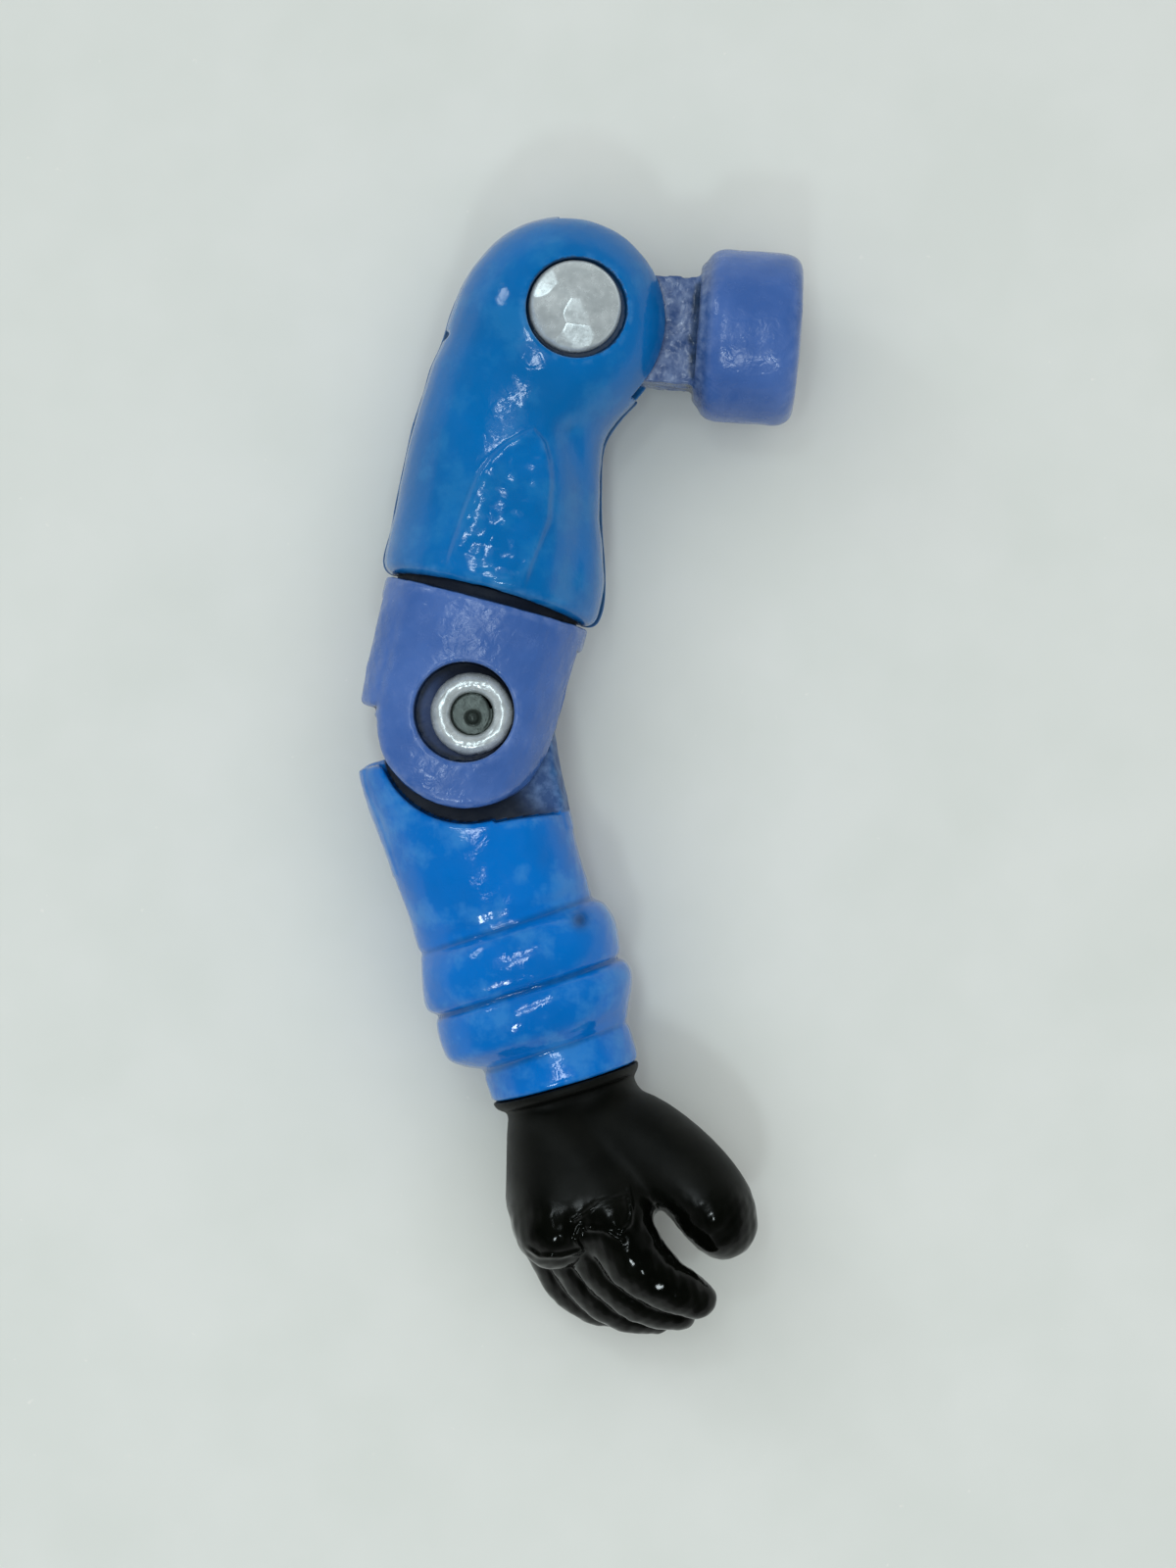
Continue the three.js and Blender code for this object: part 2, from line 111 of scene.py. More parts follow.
# place and size in mm, and power
LAMPS = {
    "window": ((-170, 150, 150), (26, 50), 0.032),
    "panel": ((-20, 30, 200), (70, 70), 0.006),
    "upper_bulb": ((-18, 42, 150), (22, 9), 0.01),
    "middle_bulb": ((-14, 3, 150), (30, 9), 0.011),
    "lower_bulb": ((-10, -78, 140), (16, 16), 0.026),
}


def add_object(name, data):
    """A new object in the scene."""
    made = bpy.data.objects.new(name, data)
    bpy.context.scene.collection.objects.link(made)
    return made


def add_camera():
    """A camera straight above the arm, framed as the picture is."""
    middle = (CAD_BOX[0] + CAD_BOX[1]) / 2
    data = bpy.data.cameras.new("camera")
    data.sensor_width = SENSOR
    data.lens = SENSOR * CAMERA_DISTANCE / VIEW_HEIGHT
    data.clip_start = 0.001
    data.clip_end = 10
    camera = add_object("camera", data)
    camera.location = middle + Vector((*CAMERA_SHIFT, CAMERA_DISTANCE)) * MM
    bpy.context.scene.camera = camera


def add_lamp(name, place, size, power):
    """A rectangular lamp at a place in mm, turned to the middle of the arm."""
    data = bpy.data.lights.new(name, "AREA")
    data.shape = "RECTANGLE"
    data.size = size[0] * MM
    data.size_y = size[1] * MM
    data.energy = power
    data.color = LAMP_TINT
    lamp = add_object(name, data)
    lamp.location = Vector(place) * MM
    lamp.rotation_euler = (-lamp.location).to_track_quat("-Z", "Y").to_euler()


def add_sky(name, towards, spread, power):
    """Soft light from a wide patch of sky, which lights the whole floor alike and makes no glare."""
    data = bpy.data.lights.new(name, "SUN")
    data.angle = math.radians(spread)
    data.energy = power
    sky = add_object(name, data)
    sky.rotation_euler = Vector(towards).to_track_quat("Z", "Y").to_euler()
    sky.visible_glossy = False


def add_room():
    """A room that gloss mirrors: dark overhead, where the viewer leans in, and brighter towards the walls."""
    world = bpy.data.worlds.new("room")
    world.use_nodes = True
    nodes, links = world.node_tree.nodes, world.node_tree.links
    way = nodes.new("ShaderNodeTexCoord").outputs["Generated"]
    parts = nodes.new("ShaderNodeSeparateXYZ")
    links.new(way, parts.inputs["Vector"])
    light = nodes.new("ShaderNodeValToRGB")
    stops = light.color_ramp.elements
    for height, _ in ROOM_LIGHT[1:-1]:
        stops.new(height)
    for stop, (height, level) in zip(stops, ROOM_LIGHT):
        stop.position = height
        stop.color = (*(tint * level for tint in ROOM_TINT), 1)
    links.new(parts.outputs["Z"], light.inputs["Fac"])
    links.new(light.outputs["Color"], nodes["Background"].inputs["Color"])
    bpy.context.scene.world = world


def add_floor():
    """A wide sheet of paper at the height of the table."""
    mesh = bpy.data.meshes.new("floor")
    turns = ((-1, -1), (1, -1), (1, 1), (-1, 1))
    mesh.from_pydata([(x * FLOOR_HALF, y * FLOOR_HALF, 0) for x, y in turns], [], [(0, 1, 2, 3)])
    floor = add_object("floor", mesh)
    floor.data.materials.append(paper())


# ---- distance fields ----------------------------------------------------------------------------------
FAR = 9  # mm, past the surface of every piece, measured across the arm
WAVES = 9  # summed in a ripple
HOLLOW_REACH = 0.3  # mm, of the neighbourhood that tells an edge from a hollow
HOLLOW_GAIN = 2.2  # the filled share of that neighbourhood is stretched by this much


class Block:
    """Open grids of x, y and z over a box, in millimetres."""

    def __init__(self, low, high, voxel):
        self.low = np.array(low, float)
        self.voxel = voxel
        spans = [np.arange(a, b + voxel, voxel, dtype=np.float32) for a, b in zip(low, high)]
        self.x, self.y, self.z = np.meshgrid(*spans, indexing="ij", sparse=True)

    def away(self, point):
        """Distance from a point."""
        x, y, z = point
        return np.sqrt((self.x - x) ** 2 + (self.y - y) ** 2 + (self.z - z) ** 2)

    def bone(self, start, end):
        """A rounded bar between two balls, each given as x, y, z and radius."""
        a, b = np.array(start[:3]), np.array(end[:3])
        way = b - a
        dot = (self.x - a[0]) * way[0] + (self.y - a[1]) * way[1] + (self.z - a[2]) * way[2]
        t = np.clip(dot / (way @ way), 0, 1)
        gap = (self.x - a[0] - t * way[0]) ** 2 + (self.y - a[1] - t * way[1]) ** 2
        gap = gap + (self.z - a[2] - t * way[2]) ** 2
        return np.sqrt(gap) - (start[3] + t * (end[3] - start[3]))

    def bar_z(self, radius, low, high, x=0.0, y=0.0):
        """A round bar along Z."""
        round_ = np.sqrt((self.x - x) ** 2 + (self.y - y) ** 2) - radius
        return np.maximum(round_, np.abs(self.z - (low + high) / 2) - (high - low) / 2)

    def bar_y(self, radius, low, high, x=0.0):
        """A round bar along Y."""
        round_ = np.sqrt((self.x - x) ** 2 + self.z**2) - radius
        return np.maximum(round_, np.abs(self.y - (low + high) / 2) - (high - low) / 2)

    def box(self, low, high):
        """A straight box."""
        sides = [
            np.abs(axis - (a + b) / 2) - (b - a) / 2
            for axis, a, b in zip((self.x, self.y, self.z), low, high)
        ]
        return np.maximum(np.maximum(sides[0], sides[1]), sides[2])

    def ripple(self, size, seed):
        """Smooth unevenness between about -1 and 1, with bumps of one size."""
        chance = np.random.default_rng(seed)
        total = 0
        for _ in range(WAVES):
            way = chance.normal(size=3)
            way *= 2 * math.pi / (size * chance.uniform(0.7, 1.5) * np.linalg.norm(way))
            phase = chance.uniform(0, 2 * math.pi)
            total = total + np.sin(self.x * way[0] + self.y * way[1] + self.z * way[2] + phase)
        return total / math.sqrt(WAVES)

    def mesh(self, name, field, place):
        """The field's zero surface as a smooth mesh object, and the vertices in the segment's mm."""
        shape = np.broadcast_shapes(self.x.shape, self.y.shape, self.z.shape)
        solid = np.array(np.broadcast_to(field, shape), dtype=np.float32, order="C")
        grid = openvdb.FloatGrid()
        grid.copyFromArray(solid)
        points, triangles, quads = grid.convertToPolygons(isovalue=0.0, adaptivity=0.0)
        local = points * self.voxel + self.low
        matrix = np.array(place)
        data = bpy.data.meshes.new(name)
        faces = [face[::-1] for face in quads.tolist() + triangles.tolist()]
        data.from_pydata(local @ matrix[:3, :3].T + matrix[:3, 3], [], faces)
        data.shade_smooth()
        keep_hollows(data, solid, points, self.voxel)
        return add_object(name, data), local


def keep_hollows(data, solid, points, voxel):
    """Vertex attribute 'hollow': 0 on outer edges, 0.5 on flats, 1 in creases."""
    filled = np.clip(0.5 - solid / voxel, 0, 1)
    reach = max(1, round(HOLLOW_REACH / voxel))
    for axis in range(3):
        filled = box_blur(filled, reach, axis)
    share = at_points(filled, points)
    mark(data, "hollow", np.clip((share - 0.5) * HOLLOW_GAIN + 0.5, 0, 1))


def mark(data, name, values):
    """Keeps a number for each vertex of a mesh, which its material reads."""
    attribute = data.attributes.new(name, "FLOAT", "POINT")
    attribute.data.foreach_set("value", values.astype(np.float32))


def at_points(values, points):
    """A block's values at points given in cells, evened out between the cells around each."""
    low = np.clip(np.floor(points).astype(int), 0, np.array(values.shape) - 2)
    part = points - low
    total = 0
    for corner in itertools.product((0, 1), repeat=3):
        share = np.prod(np.where(corner, part, 1 - part), axis=1)
        i, j, k = (low + corner).T
        total = total + share * values[i, j, k]
    return total


def box_blur(values, reach, axis):
    """Mean over 2 * reach + 1 cells along an axis."""
    padding = [(0, 0)] * 3
    padding[axis] = (reach + 1, reach)
    total = np.cumsum(np.pad(values, padding, mode="edge"), axis=axis, dtype=np.float64)
    high = np.take(total, range(2 * reach + 1, total.shape[axis]), axis=axis)
    low = np.take(total, range(total.shape[axis] - 2 * reach - 1), axis=axis)
    return ((high - low) / (2 * reach + 1)).astype(np.float32)


def join(a, b, soft=0.0):
    """Both solids, with a fillet of about that size where they meet."""
    if not soft:
        return np.minimum(a, b)
    h = np.maximum(soft - np.abs(a - b), 0) / soft
    return np.minimum(a, b) - h * h * soft / 4


def common(a, b, soft=0.0):
    """What lies in both solids, with edges rounded by about that size."""
    return -join(-a, -b, soft)


def cut(a, b, soft=0.0):
    """The first solid less the second."""
    return -join(-a, b, soft)


def smooth_step(value, low, high):
    """0 up to low, 1 from high on, and a smooth rise between; low may be the greater."""
    t = np.clip((value - low) / (high - low), 0, 1)
    return t * t * (3 - 2 * t)


def bump(distance, width):
    """1 on a line and 0 away from it."""
    return np.exp(-((distance / width) ** 2))


def track(x, y, points):
    """Distance in the XY plane from a line through points."""
    best = np.inf
    for (ax, ay), (bx, by) in zip(points, points[1:]):
        wx, wy = bx - ax, by - ay
        t = np.clip(((x - ax) * wx + (y - ay) * wy) / (wx * wx + wy * wy), 0, 1)
        best = np.minimum(best, np.hypot(x - ax - t * wx, y - ay - t * wy))
    return best


def along(stations, y):
    """Each of the stations' values at the heights y, by smooth curves through them."""
    table = np.array(stations, float)
    heights, values = table[:, 0], table[:, 1:]
    slopes = np.gradient(values, heights, axis=0)
    y = np.clip(y, heights[0], heights[-1])
    i = np.clip(np.searchsorted(heights, y, side="right") - 1, 0, len(heights) - 2)
    gap = heights[i + 1] - heights[i]
    t = (y - heights[i]) / gap
    start = 2 * t**3 - 3 * t**2 + 1
    end = 3 * t**2 - 2 * t**3
    lead = t**3 - 2 * t**2 + t
    trail = t**3 - t**2
    return [
        (start * v[i] + end * v[i + 1] + gap * (lead * s[i] + trail * s[i + 1])).astype(np.float32)
        for v, s in zip(values.T, slopes.T)
    ]


def sleeve(block, stations, flare=0.0, slant=0.0):
    """A tube of changing section: each station is height, left, right, front, back and squareness."""
    left, right, front, back, power = along(stations, block.y - slant * block.x)
    middle, half = (left + right) / 2, (right - left) / 2 + flare
    depth = np.where(block.z > 0, front, back)
    across = np.abs(block.x - middle) / half
    deep = np.abs(block.z) / depth
    return ((across**power + deep**power) ** (1 / power) - 1) * np.minimum(half, depth)


# ---- rivet seats and clearances that several pieces share ---------------------------------------------
SEAM = 0.08
SEAM_ROUND = 0.05
GAP = 0.1
RIVET_HOLE = 0.95
SHANK_RADIUS = 0.85
SHANK_SUNK = 0.1  # of a shank's ends into the heads
SEAT_GAP = 0.04  # under a rivet's head
HEM = -10.69
HEM_RISE = 0.34  # of the hem's middle, at the front and the back
HEM_DEPTH = 3.7  # of the shells at the hem
TONGUE_HALF = 1.3
TONGUE_RADIUS = 2.75
NECK_TOP = 1.52
NECK_BOTTOM = -2.28
SWIVEL_X = -0.4
POST_RADIUS = 1.5
FLANGE_RADIUS = 2.5
FLANGE_LOW = HEM + 1.35
FLANGE_HIGH = HEM + 2.35
LIP_RADIUS = 3.3  # of the ring on the fork that stands inside the hem
LIP_HEIGHT = 0.45
HEAD_SEAT = 2.75
HEAD_RECESS = 1.76
HEAD_X = 0.06
HEAD_Y = -0.06
BACK_SEAT = 2.6
BACK_RECESS = 1.7
SHOULDER_SWEEP = math.radians(86)
LIGHTENING_POCKET = ((-3.3, -7.6, -2.1), (1.1, -3.9, 2.1))

# height, left, right, front, back and squareness
UPPER_ARM = [
    (-11.6, -4.1, 3.4, 3.6, 3.6, 2.1),
    (-10.7, -4.2, 3.5, 3.7, 3.72, 2.1),
    (-10.2, -4.33, 3.58, 3.71, 3.75, 2.1),
    (-9.2, -4.37, 3.52, 3.59, 3.7, 2.1),
    (-8.2, -4.42, 3.24, 3.47, 3.6, 2.15),
    (-7.0, -4.5, 2.82, 3.36, 3.45, 2.2),
    (-5.6, -4.55, 2.44, 3.25, 3.3, 2.3),
    (-4.2, -4.52, 2.18, 3.25, 3.3, 2.3),
    (-3.0, -4.46, 2.2, 3.27, 3.3, 2.4),
    (-2.2, -4.3, 2.3, 3.29, 3.3, 2.4),
    (-1.0, -4.05, 2.3, 3.15, 3.15, 2.4),
    (0.4, -3.5, 2.0, 2.6, 2.7, 2.4),
    (1.6, -2.6, 1.4, 2.0, 2.0, 2.3),
]
UPPER_ARM_TOP = 1.3  # where the sleeve ends inside the cap
CAP_CENTRE = (-0.3, -0.38)
CAP_RADIUS = 3.78
CAP_DEPTH = 3.4
CAP_POWER = 2.55  # 2 is a ball, and more is squarer
BACK_FLARE = 0.06  # how far the back shell stands out past the front one, and as much again by the hem
NOTCH = (-4.42, -1.95)  # the nick in the front shell's left edge


def upper_arm_body(block, flare=0.0):
    """The shoulder cap and the sleeve below it."""
    reach = np.hypot(block.x - CAP_CENTRE[0], block.y - CAP_CENTRE[1]) / (CAP_RADIUS + flare)
    deep = np.abs(block.z) / CAP_DEPTH
    cap = ((reach**CAP_POWER + deep**CAP_POWER) ** (1 / CAP_POWER) - 1) * CAP_DEPTH
    tube = common(sleeve(block, UPPER_ARM, flare), block.y - UPPER_ARM_TOP, 1.0)
    return join(cap, tube, 0.9)


def shell_pockets(block):
    """The room for the peg, the fork's post and the shoulder rivet's shank, and the lightening pocket."""
    x, y = block.x, block.y
    room = TONGUE_HALF + GAP
    floor = NECK_BOTTOM - GAP - y
    turned = -x * math.sin(SHOULDER_SWEEP) + y * math.cos(SHOULDER_SWEEP) - NECK_TOP - GAP
    behind = -x * math.cos(SHOULDER_SWEEP / 2) - y * math.sin(SHOULDER_SWEEP / 2) - 0.6
    sector = np.maximum(np.maximum(floor, turned), behind)
    peg = np.maximum(join(np.hypot(x, y) - TONGUE_RADIUS - GAP, sector), np.abs(block.z) - room)
    post = block.bar_y(POST_RADIUS + GAP, HEM - 1, FLANGE_HIGH + 2 * GAP, SWIVEL_X)
    flange = block.bar_y(FLANGE_RADIUS + GAP, FLANGE_LOW - GAP, FLANGE_HIGH + GAP, SWIVEL_X)
    lip = block.bar_y(LIP_RADIUS + GAP, HEM - 1, HEM + LIP_HEIGHT + GAP, SWIVEL_X)
    pocket = block.box(*LIGHTENING_POCKET)
    shank = block.bar_z(RIVET_HOLE, -FAR, FAR)
    return functools.reduce(join, (peg, post, flange, lip, pocket, shank))


def in_hole(at, x, y, radius):
    """True for the points inside a round hole along Z, walls included."""
    wall = 0.06
    return np.hypot(at[:, 0] - x, at[:, 1] - y) < radius + wall


def hem_plane(block):
    """Above 0 below the hem, which arches up at the front and the back."""
    rise = HEM_RISE * np.clip(np.abs(block.z) / HEM_DEPTH, 0, 1) ** 1.5
    return HEM + rise - block.y


# the raised panel's edges, which meet at its peak, and the groove beside it
FACET_LEFT = [(-0.3, -4.5), (-1.08, -5.26), (-1.5, -5.9), (-1.77, -6.6), (-1.92, -8.0), (-2.0, -9.6)]
FACET_RIGHT = [(-0.3, -4.5), (0.25, -4.9), (0.6, -5.5), (0.85, -6.2), (1.1, -7.5), (0.9, -9.3)]
VALLEY = [(0.9, -4.3), (1.75, -6.0), (2.2, -8.0), (2.35, -9.8)]


def front_relief(block):
    """Height in mm of the moulded folds on the front of the upper arm."""
    x, y = block.x, block.y
    left_edge = np.interp(-y, [-p[1] for p in FACET_LEFT], [p[0] for p in FACET_LEFT])
    right_edge = np.interp(-y, [-p[1] for p in FACET_RIGHT], [p[0] for p in FACET_RIGHT])
    inside = np.minimum(x - left_edge, right_edge - x)
    peak = FACET_LEFT[0][1]
    inside = np.minimum(inside, (peak - y) * 0.8)
    fade = 1 - smooth_step(-y, 9.4, 10.4)
    panel = 0.12 * smooth_step(inside, -0.1, 0.14)
    dish = -0.08 * smooth_step(inside, 0.1, 1.1)
    crinkles = 0.02 * block.ripple(0.7, seed=9) + 0.005 * block.ripple(0.35, seed=10)
    crinkles = crinkles * smooth_step(inside, 0.1, 0.4)
    valley = -0.2 * bump(track(x, y, VALLEY), 0.5)
    return (panel + dish + crinkles + valley) * fade


def upper_arm_front():
    """The glossy half shell in front, with the folded panel and the steel rivet's seat."""
    block = Block((-5.0, -11.2, -0.1), (4.2, 3.8, 4.2), 0.07)
    body = upper_arm_body(block) - front_relief(block)
    body = body - 0.006 * block.ripple(1.6, seed=3) - 0.002 * block.ripple(0.6, seed=4)
    notch = np.hypot(block.x - NOTCH[0], (block.y - NOTCH[1]) * 1.6) - 0.3
    body = cut(body, notch, 0.12)
    body = common(body, hem_plane(block), 0.45)
    body = common(body, SEAM / 2 - block.z, SEAM_ROUND)
    recess = block.bar_z(HEAD_RECESS, HEAD_SEAT, FAR, HEAD_X, HEAD_Y)
    body = cut(cut(body, recess, 0.14), shell_pockets(block), 0.08)
    shell, at = block.mesh("upper_arm_front", body, UPPER_FRAME)
    # painted shade: a dark mark in the rivet head's recess and along the seam between the shells
    in_recess = in_hole(at, HEAD_X, HEAD_Y, HEAD_RECESS) * smooth_step(at[:, 2], 3.3, 3.1)
    in_seam = smooth_step(at[:, 2], 0.1, 0.05)
    mark(shell.data, "painted_shade", np.maximum(0.8 * in_recess, in_seam))
    place(shell, "upper_arm", "upper_arm_front_shell", "sleeve_plastic", gloss_blue(*UPPER_BLUE))


def upper_arm_back():
    """The half shell behind, plain, with the seat of the steel rivet's rolled end."""
    block = Block((-5.1, -11.2, -4.2), (4.3, 3.9, 0.1), 0.08)
    flare = BACK_FLARE + BACK_FLARE * smooth_step(-block.y, 8.8, 10.2) * (block.x > 0)
    body = upper_arm_body(block, flare) - 0.012 * block.ripple(1.6, seed=5)
    body = common(body, hem_plane(block), 0.4)
    body = common(body, block.z + SEAM / 2, SEAM_ROUND)
    recess = block.bar_z(BACK_RECESS, -FAR, -BACK_SEAT)
    body = cut(cut(body, recess, 0.14), shell_pockets(block), 0.08)
    shell, at = block.mesh("upper_arm_back", body, UPPER_FRAME)
    # painted shade: a dark mark in the rolled end's recess and along the seam between the shells
    in_recess = in_hole(at, 0, 0, BACK_RECESS) * smooth_step(at[:, 2], -3.3, -3.1)
    in_seam = smooth_step(at[:, 2], -0.14, -0.06)
    mark(shell.data, "painted_shade", np.maximum(0.8 * in_recess, 0.7 * in_seam))
    place(shell, "upper_arm", "upper_arm_back_shell", "sleeve_plastic", gloss_blue(*UPPER_BLUE))


# ---- shoulder peg -------------------------------------------------------------------------------------
DISC_DROP = -0.32
DISC_RADIUS = 3.08
DISC_INNER = 4.55
DISC_OUTER = 8.08
DISC_CROWN = 0.12  # the middle of the outer face stands out past its rim
BOSS_RADIUS = 2.45
BOSS_X = 4.7
BOSS_HALF = 0.3
NECK_END = 5


def shoulder_peg():
    """The disc, the scraped neck and the tongue on the rivet."""
    block = Block((-3.1, -3.8, -3.3), (8.5, 3.0, 3.3), 0.075)
    around = np.hypot(block.y - DISC_DROP, block.z)
    crown = DISC_OUTER - DISC_CROWN * (around / DISC_RADIUS) ** 2
    disc = common(common(around - DISC_RADIUS, block.x - crown, 0.7), DISC_INNER - block.x, 0.85)
    boss = common(around - BOSS_RADIUS, np.abs(block.x - BOSS_X) - BOSS_HALF, 0.2)
    neck = block.box((0, NECK_BOTTOM, -TONGUE_HALF), (NECK_END, NECK_TOP, TONGUE_HALF))
    rough = 0.025 * block.ripple(0.4, seed=11) + 0.025 * block.ripple(0.9, seed=12)
    neck = neck - rough * smooth_step(block.x, 2.9, 3.3)
    tongue = common(np.hypot(block.x, block.y) - TONGUE_RADIUS, np.abs(block.z) - TONGUE_HALF, 0.15)
    body = join(join(disc, boss, 0.3), join(neck, tongue, 0.1), 0.2)
    body = body - 0.008 * block.ripple(1.1, seed=13)
    body = cut(body, block.bar_z(RIVET_HOLE, -FAR, FAR), 0.06)
    peg, at = block.mesh("shoulder_peg_body", body, PEG_FRAME)
    mark(peg.data, "worn", 1 - smooth_step(at[:, 0], DISC_INNER - 0.2, DISC_INNER + 0.5))
    place(peg, "shoulder", "shoulder_peg", "joint_plastic", satin_violet())


# ---- elbow fork ---------------------------------------------------------------------------------------
FORK_TOP = ELBOW_DROP + HEM - GAP
STOP_X = -4.1  # the outer side of the stop beside the ears
STOP_Y = -0.62  # its end, which the forearm's lip meets
SLOT_HALF = 1.35
SLOT_ROOT = 3.15
EAR_X = 0.03
EAR_Y = -0.13
EAR_RADIUS = 3.18
CHEEK_X = 3.3  # the ears' straight right side
CHEEK_Y = -0.9
CREASE_X = -3.12
CREASE_DEPTH = 0.035
RING_RECESS = 1.76
RING_SEAT = 2.3
RING_X = -0.07
RING_Y = 0.03
# height, left, right, front, back and squareness
BARREL = [
    (-4.0, -3.8, 3.0, 3.5, 3.5, 2.8),
    (-2.0, -3.86, 3.15, 3.55, 3.55, 2.8),
    (0.0, -3.94, 3.26, 3.62, 3.62, 2.8),
    (2.0, -4.06, 3.28, 3.66, 3.66, 2.75),
    (3.4, -4.1, 3.34, 3.68, 3.68, 2.6),
    (4.2, -4.1, 3.36, 3.68, 3.68, 2.5),
]


def elbow_fork():
    """The barrel with its two ears and stop, and the swivel's post and flange above."""
    block = Block((-4.4, -3.6, -4.0), (3.8, 6.7, 4.0), 0.075)
    x, y = block.x, block.y
    ear = np.hypot(x - EAR_X, y - EAR_Y) - EAR_RADIUS
    stop = common(STOP_Y - y, STOP_X - 0.03 * y - x, 0.35)
    cheeks = np.maximum(np.maximum(EAR_X - EAR_RADIUS - x, CHEEK_Y - y), x - CHEEK_X)
    outline = join(ear, join(stop, cheeks), 0.12)
    barrel = common(sleeve(block, BARREL), outline, 0.3)
    barrel = common(barrel, y - FORK_TOP, 0.15)
    crease = bump(x - CREASE_X + 0.02 * y, 0.12)
    crease = crease * smooth_step(block.z, 0.5, 1.2) * smooth_step(-y, -3.4, -1.5)
    barrel = barrel + CREASE_DEPTH * crease
    barrel = barrel - 0.012 * block.ripple(1.2, seed=21) - 0.006 * block.ripple(0.45, seed=22)
    lip = block.bar_y(LIP_RADIUS, FORK_TOP - 1, FORK_TOP + LIP_HEIGHT, SWIVEL_X)
    post = block.bar_y(POST_RADIUS, FORK_TOP - 1, ELBOW_DROP + FLANGE_HIGH, SWIVEL_X)
    flange = block.bar_y(FLANGE_RADIUS, ELBOW_DROP + FLANGE_LOW, ELBOW_DROP + FLANGE_HIGH, SWIVEL_X)
    body = join(barrel, join(lip, join(post, flange, 0.1), 0.1), 0.1)
    slot = block.box((-FAR, -FAR, -SLOT_HALF), (FAR, SLOT_ROOT, SLOT_HALF))
    body = cut(body, slot, 0.25)
    recess = block.bar_z(RING_RECESS, RING_SEAT, FAR, RING_X, RING_Y)
    back_recess = block.bar_z(BACK_RECESS, -FAR, -RING_SEAT)
    body = cut(cut(body, recess, 0.16), back_recess, 0.14)
    body = cut(body, block.bar_z(RIVET_HOLE, -FAR, FAR), 0.05)
    fork, at = block.mesh("elbow_fork_body", body, ELBOW_FRAME)
    # painted shade: a dark mark in the rolled ring's recess, darker on one side, and on the fork's top face
    # under the hem's gap
    in_recess = in_hole(at, RING_X, RING_Y, RING_RECESS) * smooth_step(at[:, 2], 3.3, 3.0)
    above = smooth_step(at[:, 1], FORK_TOP - 0.03, FORK_TOP + 0.05)
    sunk = in_recess * (0.55 + 0.4 * smooth_step(at[:, 1] + 0.5 * at[:, 0], -0.6, 1.0))
    mark(fork.data, "painted_shade", np.maximum(sunk, above))
    place(fork, "elbow", "elbow_fork", "joint_plastic", satin_violet())


# ---- forearm ------------------------------------------------------------------------------------------
# height, left, right, front, back and squareness
FOREARM = [
    (-14.4, -2.62, 2.54, 2.8, 2.6, 2.2),
    (-13.4, -2.74, 2.7, 2.74, 2.68, 2.2),
    (-12.7, -2.78, 2.7, 2.66, 2.66, 2.2),
    (-12.25, -2.84, 2.68, 2.66, 2.66, 2.2),
    (-11.95, -3.36, 2.74, 2.9, 2.9, 2.3),
    (-11.6, -3.82, 2.88, 3.2, 3.2, 2.6),
    (-11.1, -3.98, 3.12, 3.4, 3.4, 2.6),
    (-10.5, -3.98, 3.26, 3.46, 3.46, 2.6),
    (-10.1, -3.92, 3.14, 3.34, 3.34, 2.6),
    (-9.9, -3.9, 3.0, 3.22, 3.22, 2.6),
    (-9.65, -4.08, 3.06, 3.34, 3.34, 2.6),
    (-9.0, -4.13, 3.16, 3.44, 3.44, 2.6),
    (-8.3, -4.02, 3.1, 3.34, 3.34, 2.6),
    (-7.85, -3.9, 2.9, 3.16, 3.16, 2.3),
    (-7.6, -3.88, 2.68, 2.9, 3.0, 2.2),
    (-6.8, -3.9, 2.58, 2.88, 2.92, 2.3),
    (-5.0, -4.02, 2.58, 2.94, 2.86, 2.3),
    (-3.0, -4.18, 2.66, 3.0, 2.94, 2.3),
    (-1.4, -4.32, 2.8, 3.04, 3.0, 2.3),
    (0.4, -4.2, 3.0, 3.0, 3.0, 2.3),
]
CUFF_SLANT = 0.05  # the rolls' and the cuff's rise to the right
CUFF_END = -13.55
END_SLANT = 0.02
SCOOP_X = -0.14  # the round end of the sleeve that clears the ears
SCOOP_Y = -0.64
SCOOP_RADIUS = 3.22
SHOULDER_TOP = -3.93  # the sleeve's end to the right of the ears
SHOULDER_FALL = 0.136
LIP_TOP = -0.78  # the sleeve's end to the left of them
EYE_RADIUS = 3.0
EYE_HALF = 1.25
ROOT_Y = -2.9  # the middle of the block that ties the eye to the sleeve
ROOT_HALF = 1.95
GROOVES = [(-7.62, 0.08), (-9.93, 0.08), (-12.2, 0.06)]  # height and depth, round each roll's edges
PIT = (2.0, -8.05)
PLUG_X = -0.1
PLUG_RADIUS = 1.35
PLUG_TOP = -11.75
SOCKET_SPARE = 0.2  # above the plug
SOCKET_END = -20  # past the cuff


def sleeve_end(x):
    """Height of the sleeve's upper end beside the ears."""
    return np.where(x > 0, SHOULDER_TOP - SHOULDER_FALL * x, LIP_TOP)


